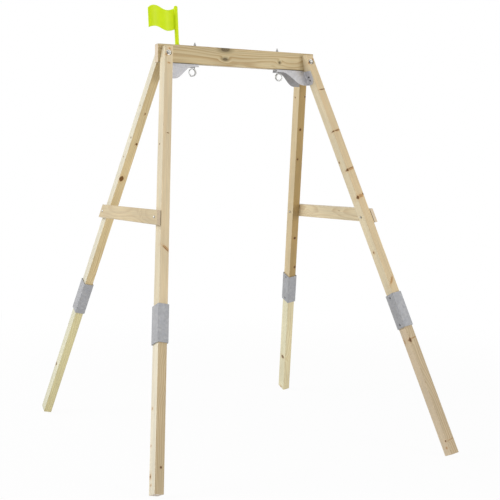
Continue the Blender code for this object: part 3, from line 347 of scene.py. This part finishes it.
def pine(board, place, seed, pith, skin=(-LEG_WIDE / 2, -LEG_DEEP / 2), seam=None):
    """Softwood whose year rings run through the whole piece, so that every face and end shows its own cut.

    Place is the board's frame, with Z along it. The pith lies so far beside that line. Skin is where the faces
    with marks lie. Seam is where the board lies on another, with a dark line of painted shade in the corner.
    """
    knots, burls, swirls = MARKS[board]
    square, other, figure = BOARDS[board]
    if board == "top_beam":
        knot, core, halo, glow = PINE["smoke"], PINE["bog_and_joint_shade"], PINE["smoke"], 0.70
    else:
        knot, core, halo, glow = PINE["knot"], PINE["core"], PINE["halo"], 0.40
    graph = material_graph("timber_" + board)
    inverse = place.inverted()
    coordinates = graph.add("TexCoord", {})
    local = graph.add("Mapping", {"Vector": coordinates.outputs["Object"], "Location": inverse.translation,
                                  "Rotation": inverse.to_euler("XYZ")}).outputs[0]
    wobble = graph.noise(graph.stretch(local, WOBBLE, seed), 1.0)
    fibre = graph.noise(graph.stretch(local, FIBRE, seed), 1.0, 3.0, 0.6)
    streak = graph.noise(graph.stretch(local, STREAK, seed + 3.1), 1.0)
    broad = graph.noise(graph.stretch(local, BROAD, seed + 7.7), 1.0)
    line = graph.noise(graph.stretch(local, LINE, seed + 1.3), 1.0)

    # The year rings, round a pith that wanders, bent by the marks
    drift = graph.noise(graph.stretch(local, DRIFT, seed), 1.0, 1.0, output="Color")
    wander = graph.vector("MULTIPLY", graph.vector("SUBTRACT", drift, (0.5, 0.5, 0.5)),
                          (PITH_WANDER, PITH_WANDER, 0.0))
    from_pith = graph.vector("SUBTRACT", graph.vector("ADD", local, wander), (*pith, 0.0))
    cross = graph.vector("MULTIPLY", from_pith, (1.0, 1.0, 0.0))
    radius = graph.math("ADD", graph.vector("LENGTH", cross), graph.math("MULTIPLY", wobble, RING_WOBBLE))
    for spots, push in ((knots, KNOT_PUSH), (burls, KNOT_PUSH), (swirls, SWIRL_PUSH)):
        if spots:
            around = graph.span(nearest(graph, local, spots, skin), *PUSH_REACH, 1.0, 0.0, smooth=True)
            radius = graph.math("ADD", radius, graph.math("MULTIPLY", around, push))
    band = graph.ramp(graph.math("FRACT", graph.math("DIVIDE", radius, RING)), RING_LEVELS)
    shown = graph.span(streak, 0.3, 0.72, RING_SHARE[0] * figure, RING_SHARE[1] * figure)
    color = graph.mix(graph.math("MULTIPLY", band, shown), PINE["light"], PINE["dark"])

    # The knots, each with a halo and rings of its own
    ragged = graph.span(wobble, *MOST, -KNOT_RAGGED, KNOT_RAGGED)
    for spots, light, dark in ((burls, PINE["halo"], PINE["burl"]), (knots, knot, core)):
        if spots:
            away = graph.math("ADD", nearest(graph, local, spots, skin), ragged)
            color = graph.mix(graph.span(away, *HALO_REACH, 0.0, glow, smooth=True), color, halo)
            rings = graph.math("SINE", graph.math("MULTIPLY", away, KNOT_RINGS))
            inner = graph.mix(graph.span(rings, -1.0, 1.0, 0.0, 0.6), dark, light)
            color = graph.mix(graph.span(away, *KNOT_REACH, smooth=True), color, inner)

    # The colour of each face, with painted light and shade in its tone, and of the ends
    facing = [graph.math("ABSOLUTE", graph.vector("DOT_PRODUCT", coordinates.outputs["Normal"], axis))
              for axis in place.to_3x3().transposed()]
    # Painted light and shade: each face's tone makes some sides paler and others darker, as the light falls on them
    face_tone_and_light = graph.mix(graph.span(facing[1], *SQUARE), (*other, 1.0), (*square, 1.0))
    color = graph.mix(1.0, color, face_tone_and_light, "MULTIPLY")
    color = graph.mix(graph.span(facing[2], *SQUARE, 0.0, END_SHARE), color, PINE["end"])
    # Painted shade: a dark line on the end faces, in the corner where the board lies on another
    if seam is not None:
        depth = graph.vector("DOT_PRODUCT", local, (1.0, 0.0, 0.0))
        near = graph.span(graph.math("ABSOLUTE", graph.math("SUBTRACT", depth, seam)), *SEAM_SHADE_REACH)
        shown = graph.math("MULTIPLY", near, graph.span(facing[2], *SQUARE, 0.0, SEAM_SHADE_SHARE))
        color = graph.mix(shown, color, PINE["bog_and_joint_shade"])

    # Fibres, lines, streaks and broad patches
    fine = graph.math("MULTIPLY", graph.grey(fibre, FIBRE_TONE), graph.grey(broad, BROAD_TONE))
    long = graph.math("MULTIPLY", graph.grey(streak, STREAK_TONE), graph.grey(line, LINE_TONE))
    color = graph.mix(1.0, color, graph.math("MULTIPLY", fine, long), "MULTIPLY")
    relief = graph.math("ADD", graph.math("MULTIPLY", fibre, 0.7), graph.math("MULTIPLY", band, 0.5))
    return graph.finish(Base_Color=color, Roughness=graph.span(fibre, *MOST, *WOOD_GLOSS),
                        Specular_IOR_Level=0.3, Sheen_Weight=0.4, Sheen_Roughness=0.4,
                        Normal=graph.bump(relief, 0.00035, 0.8))


# Each board has its own part of the noise, and its own place for the pith
BEAM_PLACE = along_frame((1.0, 0.0, 0.0), (0.0, 0.0, 1.0), (0.0, 0.0, BEAM_MIDDLE))
dress("top_beam", pine("top_beam", BEAM_PLACE, 2.3, (0.085, -0.030)))
for count, (end_name, side_name) in enumerate(CORNERS):
    place = leg_frame(SIDES[side_name], ENDS[end_name])
    name = f"upper_leg_{end_name}_{side_name}"
    dress(name, pine(name, place, 5.9 + 3.7 * count, (0.062 - 0.012 * count, -0.088 + 0.010 * count)))
    name = f"lower_leg_{end_name}_{side_name}"
    dress(name, pine(name, place, 31.3 + 4.1 * count, (-0.066 + 0.012 * count, 0.082 - 0.010 * count)))
for side_name, side in SIDES.items():
    name = "cross_rail_" + side_name
    dress(name, pine(name, rail_frame(side), 50.9 + side, (0.090 * side, 0.020), skin=(-side * RAIL_OFF, 0.0),
                     seam=-side * RAIL_SEAM))


# ---------------------------------------------------------------- metals and plastic

CRYSTAL_SCALE = 105.0                   # crystals to the metre, and the feathers in them
FEATHER_SCALE = 310.0
CRYSTAL_BEND = 0.010                    # how ragged the crystals' edges are
CRYSTAL_GLOSS = (0.42, 0.56)            # the roughness of the brightest crystal and of the dullest
INSIDE_SHADE_REACH = (-0.004, -0.014)               # where a side begins to count as looking inward, into the painted shade, and fully does


def galvanised(name, first, second, metal, dull, inside=0.0):
    """Hot-dip zinc: flat crystals a few millimetres wide, each with its own shade and gloss.

    Dull is added to its roughness. Inside is painted shade: how much darker it is on the sides that look to the
    beam's middle plane, between the plates.
    """
    graph = material_graph(name)
    coordinates = graph.add("TexCoord", {})
    point = coordinates.outputs["Object"]
    bend = graph.vector("MULTIPLY", graph.noise(point, 90.0, output="Color"), (CRYSTAL_BEND,) * 3)
    bent = graph.vector("ADD", point, bend)
    shade = graph.crystals(bent, CRYSTAL_SCALE)
    small = graph.crystals(bent, FEATHER_SCALE)
    cloud = graph.noise(point, 14.0, 3.0)
    level = graph.math("MULTIPLY", graph.grey(shade[0], 0.16), graph.grey(small[1], 0.08))
    level = graph.math("MULTIPLY", level, graph.grey(cloud, 0.30))
    tint = graph.mix(shade[2], srgb(*first), srgb(*second))
    outward = graph.math("MULTIPLY", graph.vector("DOT_PRODUCT", coordinates.outputs["Normal"], (0.0, 1.0, 0.0)),
                         graph.vector("DOT_PRODUCT", point, (0.0, 1.0, 0.0)))
    # Painted shade on the sides that look inward, between the plates
    tint = graph.mix(graph.span(outward, *INSIDE_SHADE_REACH, 0.0, inside), tint, BLACK)
    color = graph.mix(1.0, tint, level, "MULTIPLY")
    bright, matt = CRYSTAL_GLOSS
    gloss = graph.math("ADD", graph.span(shade[1], 0.0, 1.0, bright + dull, matt + dull),
                       graph.span(cloud, *MOST, -0.03, 0.05))
    relief = graph.math("ADD", graph.math("MULTIPLY", shade[0], 0.4), graph.noise(point, 700.0))
    return graph.finish(Base_Color=color, Metallic=metal, Roughness=gloss,
                        Normal=graph.bump(relief, 0.00006, 0.6))


def zinc(name, first, second):
    """Zinc plating with a faint bloom of its second colour and fine marks."""
    graph = material_graph(name)
    point = graph.add("TexCoord", {}).outputs["Object"]
    bloom = graph.noise(point, 120.0, 3.0)
    fine = graph.noise(point, 1500.0)
    color = graph.mix(graph.span(bloom, 0.35, 0.7), srgb(*first), srgb(*second))
    return graph.finish(Base_Color=color, Metallic=0.95, Roughness=graph.span(bloom, *MOST, 0.24, 0.40),
                        Normal=graph.bump(fine, 0.00003, 0.5))


def lime():
    """Moulded polyethylene: even lime green, softly glossy, with a fine skin texture."""
    graph = material_graph("lime_plastic")
    point = graph.add("TexCoord", {}).outputs["Object"]
    cloud = graph.noise(point, 22.0, 3.0)
    skin = graph.noise(point, 900.0, 3.0, 0.6)
    flow = graph.noise(graph.stretch(point, (30.0, 60.0, 9.0)), 1.0)
    color = graph.mix(graph.span(cloud, *MOST), srgb(212, 237, 0), srgb(220, 242, 4))
    relief = graph.math("ADD", graph.math("MULTIPLY", flow, 0.6), graph.math("MULTIPLY", skin, 0.25))
    return graph.finish(Base_Color=color, Roughness=graph.span(skin, *MOST, 0.38, 0.48),
                        Specular_IOR_Level=0.25, Subsurface_Weight=0.18, Subsurface_Radius=(0.9, 1.0, 0.25),
                        Subsurface_Scale=0.004, Normal=graph.bump(relief, 0.00012, 0.5))


# The brackets' inner sides get painted shade
BRACKET_STEEL = galvanised("bracket_steel", (206, 204, 205), (198, 198, 202), 0.5, 0.0, 0.30)
SLEEVE_STEEL = galvanised("sleeve_steel", (173, 173, 174), (166, 167, 171), 0.25, 0.16)
BRIGHT_ZINC = zinc("zinc_steel", (206, 206, 204), (190, 186, 172))          # leg bolts and their nuts
WIRE_ZINC = zinc("loop_zinc_steel", (190, 190, 190), (174, 173, 168))       # swing hooks, rail bolts and rail nuts
DULL_ZINC = zinc("dull_zinc_steel", (150, 150, 152), (134, 132, 126))       # hook nuts and plain CAD nodes
DARK_ZINC = zinc("screw_zinc_steel", (78, 78, 80), (64, 63, 62))            # screws
LIME = lime()
FINISHES = {"galvanised_steel": SLEEVE_STEEL, "zinc_steel": DULL_ZINC, "lime_plastic": LIME}
for name, node in NODES.items():
    used = node.data.materials[0].name.split(".")[0]
    if name.startswith("corner_bracket"):
        dress(name, BRACKET_STEEL)
    elif used in FINISHES:
        dress(name, FINISHES[used])


# ---------------------------------------------------------------- finer pieces in place of CAD nodes

SMOOTH_BELOW = math.radians(32)     # faces that meet at less than this are shaded as one surface
CHAMFER_SLOPE = 0.577               # 30 degrees
ROUND_ANGLES = [TURN * step / 48 for step in range(48)]
HEX_ANGLES = [TURN * step / 36 for step in range(36)]


def join_rings(shape, rings, closed=False):
    """Faces between rings of points, with a cap on each end unless the last ring meets the first."""
    made = [[shape.verts.new(point) for point in ring] for ring in rings]
    count = len(made[0])
    pairs = list(zip(made, made[1:])) + ([(made[-1], made[0])] if closed else [])
    for low, high in pairs:
        for spot in range(count):
            after = (spot + 1) % count
            shape.faces.new((low[spot], low[after], high[after], high[spot]))
    if not closed:
        shape.faces.new(list(reversed(made[0])))
        shape.faces.new(made[-1])


def turned_rings(profile, angles):
    """Rings round Z. Each radius and height is a number or a function of the angle."""
    rings = []
    for radius, height in profile:
        ring = []
        for angle in angles:
            r = radius(angle) if callable(radius) else radius
            z = height(angle) if callable(height) else height
            ring.append((r * math.cos(angle), r * math.sin(angle), z))
        rings.append(ring)
    return rings


def swept_rings(path, radii, sides=24):
    """Rings across a path, which don't twist. A radius is a number or a function of the angle."""
    along = [(path[min(i + 1, len(path) - 1)] - path[max(i - 1, 0)]).normalized() for i in range(len(path))]
    first = along[0].orthogonal().normalized()
    rings = []
    for spot, way, radius in zip(path, along, radii):
        first = (first - way * first.dot(way)).normalized()
        second = way.cross(first)
        ring = []
        for step in range(sides):
            angle = TURN * step / sides
            r = radius(angle) if callable(radius) else radius
            ring.append(spot + (first * math.cos(angle) + second * math.sin(angle)) * r)
        rings.append(ring)
    return rings


def dome_profile(radius, height, rise, degrees):
    """A dome's (radius, height) rings, from its top at a height, at some degrees from the axis."""
    return [(radius * math.sin(a), height - rise * (1 - math.cos(a))) for a in map(math.radians, degrees)]


def thread(radius, depth, pitch, low, high, steps=6):
    """The (radius, height) rings of a screw thread, upward from low to high, fading out at both ends."""
    count = round((high - low) / pitch * steps)

    def ring(height, fade):
        def cut(angle):
            share = (height / pitch - angle / TURN) % 1.0
            return radius - depth * fade * min(1.0, 2.2 * abs(share - 0.5))
        return cut, height

    heights = [low + (high - low) * step / count for step in range(count + 1)]
    return [ring(z, min(1.0, (z - low) / pitch, (high - z) / pitch)) for z in heights]


def thread_down(*values, **more):
    return list(reversed(thread(*values, **more)))


def hexagon(flats):
    """The radius of a hexagon whose first corner is on X."""
    def radius(angle):
        return flats / 2 / math.cos((angle % (TURN / 6)) - TURN / 12)
    return radius


def chamfered(flats, inner, height, sign):
    """A hexagon's edge where a cone has turned its corners off: radius and height round it."""
    radius = hexagon(flats)
    return radius, lambda angle: height - sign * max(0.0, radius(angle) - inner) * CHAMFER_SLOPE


def cross_recess(arm, half):
    """The radius of a cross recess, for a screwdriver."""
    def radius(angle):
        off = abs((angle + TURN / 8) % (TURN / 4) - TURN / 8)
        return min(arm / math.cos(off), half / max(math.sin(off), 0.001))
    return radius


def finish_piece(shape, name, place, body, nodes, material):
    """Makes a mesh in place of CAD nodes and lets it ride on their body."""
    bmesh.ops.transform(shape, matrix=place, verts=shape.verts)
    bmesh.ops.recalc_face_normals(shape, faces=shape.faces)
    mesh = bpy.data.meshes.new(name)
    shape.to_mesh(mesh)
    shape.free()
    mesh.shade_smooth()
    mesh.set_sharp_from_angle(angle=SMOOTH_BELOW)
    mesh.materials.append(material)
    piece = bpy.data.objects.new(name, mesh)
    bpy.context.scene.collection.objects.link(piece)
    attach(piece, body)
    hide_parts(*nodes)


def finish_turned(node, place, profile, angles, material, body="frame", closed=False):
    """Makes a steel piece, turned round Z, in place of a CAD node."""
    shape = bmesh.new()
    join_rings(shape, turned_rings(profile, angles), closed)
    finish_piece(shape, node + "_fine", place, body, [node], material)


def axis_place(node, axis):
    """A frame on top of a CAD node that is turned about an axis, and the node's height.

    Z is out along the axis and X is to the node's farthest corner.
    """
    spots = [vert.co.copy() for vert in NODES[node].data.vertices]
    up = Vector(axis).normalized()
    first = up.orthogonal().normalized()
    second = up.cross(first)

    def middle(direction):
        along = [spot.dot(direction) for spot in spots]
        return (min(along) + max(along)) / 2

    heights = [spot.dot(up) for spot in spots]
    top = first * middle(first) + second * middle(second) + up * max(heights)
    flat = [(spot - top) - up * (spot - top).dot(up) for spot in spots]
    corner = max(flat, key=lambda spot: round(spot.length, 5)).normalized()
    turn = Matrix((corner, up.cross(corner), up)).transposed().to_4x4()
    return Matrix.Translation(top) @ turn, max(heights) - min(heights)


SCREW_SHANK = 0.0022
SCREW_PITCH = 0.0018
SCREW_TIP = 0.0030
RECESS_ARM = 0.56                       # the recess's size, in the head's radius
RECESS_HALF = 0.15
# The outlines of the heads below the recess, as (radius, depth) from the top
SLEEVE_HEAD = ((0.0046, 0.00005), (0.0052, 0.0002), (0.0051, 0.0004), (0.0022, 0.0031))
PAN_HEAD = ((0.0028, 0.0002), (0.0038, 0.0006), (0.0045, 0.0013), (0.0048, 0.0021), (0.0047, 0.0028))


def make_screw(node, axis, rim):
    """A screw with a cross recess. Rim is its head's outline."""
    place, length = axis_place(node, axis)
    head = max(radius for radius, depth in rim)
    arm = RECESS_ARM * head
    half = RECESS_HALF * head
    corner = math.atan(half / arm)
    quarter = (0.0, corner, math.radians(24), math.radians(35), TURN / 8, math.radians(55), math.radians(66),
               TURN / 4 - corner)
    angles = [step * TURN / 4 + off for step in range(4) for off in quarter]
    recess = cross_recess(arm, half)
    crown = rim[0][1]
    neck = rim[-1][1]
    profile = [(lambda a: 0.30 * recess(a), -0.45 * head - crown), (lambda a: 0.86 * recess(a), -0.36 * head - crown),
               (recess, -0.03 * head - crown * 0.2), (lambda a: recess(a) + 0.035 * head, -crown * 0.15)]
    profile += [(radius, -depth) for radius, depth in rim]
    profile += [(SCREW_SHANK, -neck - 0.0006), (SCREW_SHANK, -neck - 0.006)]
    profile += thread_down(SCREW_SHANK, 0.25 * SCREW_SHANK, SCREW_PITCH, SCREW_TIP - length, -neck - 0.0065, steps=4)
    profile += [(0.55 * SCREW_SHANK, 0.4 * SCREW_TIP - length), (0.08 * SCREW_SHANK, -length)]
    finish_turned(node, place, profile, angles, DARK_ZINC)


def make_rail_bolt(node, axis):
    """A bolt with a low round head and a threaded end past its nut."""
    place, length = axis_place(node, axis)
    head, thick, shank, plain = 0.0070, 0.0040, 0.0030, 0.062
    rise = 0.85 * thick
    edge = 0.0003
    profile = dome_profile(head, 0.0, rise, range(3, 91, 8))
    profile += [(head, -thick + edge), (head - edge, -thick), (shank, -thick), (shank, -plain)]
    profile += thread_down(shank, 0.00045, 0.0010, 0.0009 - length, -plain - 0.0005)
    profile += [(0.72 * shank, -length)]
    finish_turned(node, place, profile, ROUND_ANGLES, WIRE_ZINC)


RAIL_NUT = (0.0100, 0.0031)             # a nut's width across flats, and its bore's radius
HOOK_NUT = (0.0115, 0.0033)
CHAMFER_START = 0.475                   # where a hexagon's chamfer begins, in its width across flats


def make_nut(node, axis, size, body, material):
    """A hexagon nut with both faces chamfered and its bore sunk."""
    place, height = axis_place(node, axis)
    flats, bore = size
    inner = CHAMFER_START * flats
    sink = 0.0004
    profile = [(bore, -height + sink), (bore + sink, -height), (inner, -height),
               chamfered(flats, inner, -height, -1), chamfered(flats, inner, 0.0, 1),
               (inner, 0.0), (bore + sink, 0.0), (bore, -sink)]
    finish_turned(node, place, profile, HEX_ANGLES, material, body, closed=True)


def make_leg_nut(node):
    """A domed cap nut."""
    place, height = axis_place(node, (0.0, -1.0, 0.0))
    flats, hexes, radius, seat = 0.0170, 0.0085, 0.0068, 0.0052
    inner = CHAMFER_START * flats
    rise = height - hexes
    profile = dome_profile(radius, 0.0, rise, range(4, 91, 6))
    profile += [(radius + 0.0004, -rise), (inner, -rise), chamfered(flats, inner, -rise, 1),
                chamfered(flats, inner, -height, -1), (inner, -height), (seat, -height),
                (seat - 0.0002, 0.002 - height)]
    finish_turned(node, place, profile, HEX_ANGLES, BRIGHT_ZINC)


def make_leg_bolt(node):
    """The leg bolt, its hexagon head turned off on the outside, with a threaded end inside the cap nut."""
    place, length = axis_place(node, (0.0, 1.0, 0.0))
    flats, thick, shank, plain = 0.0160, 0.0064, 0.0050, 0.12
    profile = [(0.2 * flats, -0.0003), (0.455 * flats, 0.0), (0.47 * flats, 0.0),
               chamfered(flats, CHAMFER_START * flats, 0.0, 1), (hexagon(flats), -thick), (shank, -thick),
               (shank, -plain)]
    profile += thread_down(shank, 0.0006, 0.0015, 0.0015 - length, -plain - 0.0005)
    profile += [(0.72 * shank, -length)]
    finish_turned(node, place, profile, HEX_ANGLES, BRIGHT_ZINC)


HOOK_X = 0.2445
HOOK_ROD = 0.00325
LOOP_RADIUS = 0.0185
LOOP_OFFSET = 0.0100                    # the loop's middle, beside the stud and below the beam
LOOP_DROP = 0.0415
LOOP_PITCH = 0.0100                     # how far the loop goes sideways in a turn
LOOP_BEND = 0.0060                      # the bend from the stud into the loop
LOOP_END = math.radians(660)
LOOP_STEPS = 110
STUD_TOP = BEAM_HEIGHT + 0.0190
STUD_THREAD = 0.070                     # where the stud's thread begins
STUD_PITCH = 0.0010


def make_hook(side_name):
    """A threaded stud that bends into a spiral loop, as its CAD node, with finer steps and a real thread."""
    side = SIDES[side_name]
    place = Matrix.Translation((side * HOOK_X, 0.0, BEAM_BOTTOM))
    if side < 0:
        place = place @ Matrix.Rotation(math.pi, 4, "Z")
    across = LOOP_OFFSET + LOOP_BEND
    rise = math.sqrt((LOOP_RADIUS + LOOP_BEND) ** 2 - across ** 2)
    swept = math.atan2(rise, across)
    bend_z = rise - LOOP_DROP
    path = [Vector((0.0, 0.0, STUD_TOP)), Vector((0.0, 0.0, STUD_TOP - 0.0008))]
    radii = [0.66 * HOOK_ROD, 0.84 * HOOK_ROD]
    for radius, height in thread_down(HOOK_ROD, 0.00050, STUD_PITCH, STUD_THREAD, STUD_TOP - 0.0010):
        path.append(Vector((0.0, 0.0, height)))
        radii.append(radius)
    for height in (STUD_THREAD - 0.001, 0.03, bend_z + 0.002, bend_z):
        path.append(Vector((0.0, 0.0, height)))
        radii.append(HOOK_ROD)
    for step in range(1, 9):
        angle = -swept * step / 9
        path.append(Vector((LOOP_BEND * (math.cos(angle) - 1), 0.0, bend_z + LOOP_BEND * math.sin(angle))))
        radii.append(HOOK_ROD)
    start = math.pi - swept
    for step in range(LOOP_STEPS + 1):
        angle = start + (LOOP_END - start) * step / LOOP_STEPS
        forward = LOOP_PITCH * (angle - start) / TURN
        path.append(Vector((LOOP_OFFSET + LOOP_RADIUS * math.cos(angle), -forward,
                            LOOP_RADIUS * math.sin(angle) - LOOP_DROP)))
        radii.append(HOOK_ROD)
    tangent = (path[-1] - path[-2]).normalized()
    for ahead, radius in ((0.09, 0.95), (0.14, 0.85), (0.165, 0.70)):       # the rounded end, in the rod's radii
        path.append(path[-1] + tangent * HOOK_ROD * ahead)
        radii.append(radius * HOOK_ROD)
    shape = bmesh.new()
    join_rings(shape, swept_rings(path, radii))
    finish_piece(shape, f"swing_hook_{side_name}_fine", place, "hook_" + side_name,
                 ["swing_hook_" + side_name], WIRE_ZINC)


FLAG_IN = 0.0740                        # from the left leg bolt to the flag
FLAG_LEAN = math.radians(-3.0)
FLAG_FRAME = Matrix.Translation((FLAG_IN - LEG_BOLT_X, 0.0, BEAM_TOP)) @ Matrix.Rotation(FLAG_LEAN, 4, "Y")
POLE_RADIUS = 0.0106
POLE_BORE = 0.0074
POLE_LOW = 0.0066
POLE_HEIGHT = 0.2020
POLE_EDGE = 0.0005
BORE_TOP = 0.0460
PANEL_LENGTH = 0.1555
PANEL_HEIGHT = 0.1070
PANEL_MIDDLE = 0.1380
PANEL_HALF = 0.0015                     # half the panel's thickness
PANEL_FILLET = 0.0022                   # what it gains at the pole
PANEL_RISE = 0.0113                     # the wave in its upper and lower edge
PANEL_WAVE = 0.0090                     # the wave to the front and back
PANEL_PERIOD = 0.1660
PANEL_CREST = 0.1240
PANEL_DROOP = 0.0070
PANEL_DROOP_START = 0.1300
PANEL_COLUMNS = 110
PANEL_ROWS = 26
RIM_STEPS = 6


def panel_spot(out, up):
    """The panel's middle surface: out from the pole, up from -0.5 to 0.5."""
    turn = TURN * out / PANEL_PERIOD
    crest = math.cos(turn - TURN * PANEL_CREST / PANEL_PERIOD)
    past = max(0.0, out - PANEL_DROOP_START) / (PANEL_LENGTH - PANEL_DROOP_START)
    droop = PANEL_DROOP * past ** 2 * (up + 0.5)
    return Vector((-out, PANEL_WAVE * math.sin(turn), PANEL_MIDDLE + PANEL_HEIGHT * up + PANEL_RISE * crest - droop))


def panel_half(out):
    """Half the panel's thickness: a fillet at the pole, and a round rim at the far end."""
    past_pole = max(0.0, out - POLE_RADIUS)
    half = PANEL_HALF + PANEL_FILLET * math.exp(-past_pole / PANEL_FILLET)
    left = PANEL_LENGTH - out
    if left < PANEL_HALF:
        half *= math.sqrt(max(0.05, 1 - (1 - left / PANEL_HALF) ** 2))
    return half


def make_flag():
    """The pole and its waving panel, with a round rim and a fillet where the panel meets the pole."""
    profile = dome_profile(POLE_RADIUS, POLE_HEIGHT, POLE_RADIUS, range(4, 91, 8))
    profile += [(POLE_RADIUS, POLE_HEIGHT / 2), (POLE_RADIUS, POLE_LOW + POLE_EDGE),
                (POLE_RADIUS - POLE_EDGE, POLE_LOW), (POLE_BORE + 0.0002, POLE_LOW),
                (POLE_BORE, POLE_LOW + POLE_EDGE), (POLE_BORE, BORE_TOP)]
    shape = bmesh.new()
    join_rings(shape, turned_rings(profile, ROUND_ANGLES))
    start = POLE_RADIUS * 0.4
    edge = PANEL_HALF / PANEL_HEIGHT
    rings = []
    for column in range(PANEL_COLUMNS + 1):
        out = start + (PANEL_LENGTH - start) * column / PANEL_COLUMNS
        slope = PANEL_WAVE * TURN / PANEL_PERIOD * math.cos(TURN * out / PANEL_PERIOD)
        across = Vector((slope, 1.0, 0.0)).normalized()
        half = panel_half(out)
        ring = []
        for sign in (1, -1):
            for row in range(PANEL_ROWS + 1):
                up = sign * (-0.5 + edge + (1 - 2 * edge) * row / PANEL_ROWS)
                ring.append(panel_spot(out, up) + across * half * sign)
            for step in range(1, RIM_STEPS):
                angle = math.pi * step / RIM_STEPS
                up = sign * (0.5 - edge + edge * math.sin(angle))
                ring.append(panel_spot(out, up) + across * half * sign * math.cos(angle))
        rings.append(ring)
    join_rings(shape, rings)
    finish_piece(shape, "flag_fine", FLAG_FRAME, "flag", ["flag"], LIME)


for side_name, side in SIDES.items():
    inward = side_frame(side).to_3x3() @ Vector((-side, 0.0, 0.0))      # square to the leg pair's inner side
    for end_name in ENDS:
        corner = f"{end_name}_{side_name}"
        for row in ("upper", "lower"):
            make_screw(f"sleeve_screw_{row}_{corner}", inward, SLEEVE_HEAD)
            make_screw(f"bracket_screw_{row}_{corner}", inward, PAN_HEAD)
        make_rail_bolt("rail_bolt_" + corner, -inward)
        make_nut("rail_nut_" + corner, inward, RAIL_NUT, "frame", WIRE_ZINC)
    make_leg_nut("leg_nut_" + side_name)
    make_leg_bolt("leg_bolt_" + side_name)
    make_nut("hook_nut_" + side_name, (0.0, 0.0, 1.0), HOOK_NUT, "hook_" + side_name, DULL_ZINC)
    make_hook(side_name)
make_flag()


# ---------------------------------------------------------------- floor, light and camera

FLOOR_SIZE = 60.0
FLOOR_GREY = 0.86                       # how much of the lamps' light the floor gives back
FLOOR_WHITE = (0.95, 1.0)               # how white it looks near the frame, where its shadow shows, and far away
SHADOW_REACH = (1.6, 5.0)
WORLD_LEVEL = 0.50
LAMP_TARGET = (0.0, 0.0, 1.1)
LAMPS = (("key", (-6.0, 1.2, 4.4), 3.0, 170.0), ("front", (4.3, -9.2, 2.6), 3.8, 340.0),
         ("rim", (-4.8, 5.2, 3.4), 3.0, 80.0))              # name, place, size and power
CAMERA_PLACE = (-2.397, -5.013, 1.427)
CAMERA_ANGLES = (26.407, 4.279, 0.60)   # its turn to the right, its fall and its roll, in degrees
CAMERA_LENS = 73.7
CAMERA_SENSOR = 36.0


def make_floor():
    """A pale floor that is lit as cloth, and looks nearly white."""
    shape = bmesh.new()
    bmesh.ops.create_grid(shape, x_segments=1, y_segments=1, size=FLOOR_SIZE / 2)
    mesh = bpy.data.meshes.new("floor")
    shape.to_mesh(mesh)
    shape.free()
    floor = bpy.data.objects.new("floor", mesh)
    bpy.context.scene.collection.objects.link(floor)
    graph = material_graph("floor")
    cloth = graph.add("BsdfDiffuse", {"Color": (FLOOR_GREY, FLOOR_GREY, FLOOR_GREY, 1.0)}).outputs[0]
    white = graph.add("Emission", {"Color": WHITE, "Strength": 1.0}).outputs[0]
    away = graph.vector("LENGTH", graph.add("NewGeometry", {}).outputs["Position"])
    share = graph.math("MULTIPLY", graph.seen(), graph.span(away, *SHADOW_REACH, *FLOOR_WHITE, smooth=True))
    mixed = graph.add("MixShader", {0: share, 1: cloth, 2: white}).outputs[0]
    graph.add("OutputMaterial", {0: mixed})
    mesh.materials.append(graph.owner)


def make_world():
    """An even light that looks white itself."""
    world = bpy.data.worlds.new("studio")
    bpy.context.scene.world = world
    graph = Graph(world)
    strength = graph.span(graph.seen(), 0.0, 1.0, WORLD_LEVEL, 1.0)
    background = graph.add("Background", {0: WHITE, 1: strength}).outputs[0]
    graph.add("OutputWorld", {0: background})


def make_lamp(name, place, size, power):
    """A square lamp that faces the frame."""
    lamp = bpy.data.lights.new(name, "AREA")
    lamp.shape = "SQUARE"
    lamp.size = size
    lamp.energy = power
    obj = bpy.data.objects.new(name, lamp)
    bpy.context.scene.collection.objects.link(obj)
    away = Vector(place) - Vector(LAMP_TARGET)
    obj.matrix_world = Matrix.Translation(place) @ away.to_track_quat("Z", "Y").to_matrix().to_4x4()


def make_camera():
    """Where the photograph was taken from, fitted to the frame's edges."""
    turn, fall, roll = map(math.radians, CAMERA_ANGLES)
    forward = Vector((math.sin(turn) * math.cos(fall), math.cos(turn) * math.cos(fall), -math.sin(fall)))
    level = forward.cross(Vector((0.0, 0.0, 1.0))).normalized()
    upright = level.cross(forward)
    right = level * math.cos(roll) + upright * math.sin(roll)
    up = upright * math.cos(roll) - level * math.sin(roll)
    lens = bpy.data.cameras.new("camera")
    lens.lens = CAMERA_LENS
    lens.sensor_width = CAMERA_SENSOR
    camera = bpy.data.objects.new("camera", lens)
    bpy.context.scene.collection.objects.link(camera)
    camera.matrix_world = Matrix.Translation(CAMERA_PLACE) @ Matrix((right, up, -forward)).transposed().to_4x4()
    bpy.context.scene.camera = camera


make_floor()
make_world()
for lamp_values in LAMPS:
    make_lamp(*lamp_values)
make_camera()
bpy.context.scene.view_settings.view_transform = "Standard"
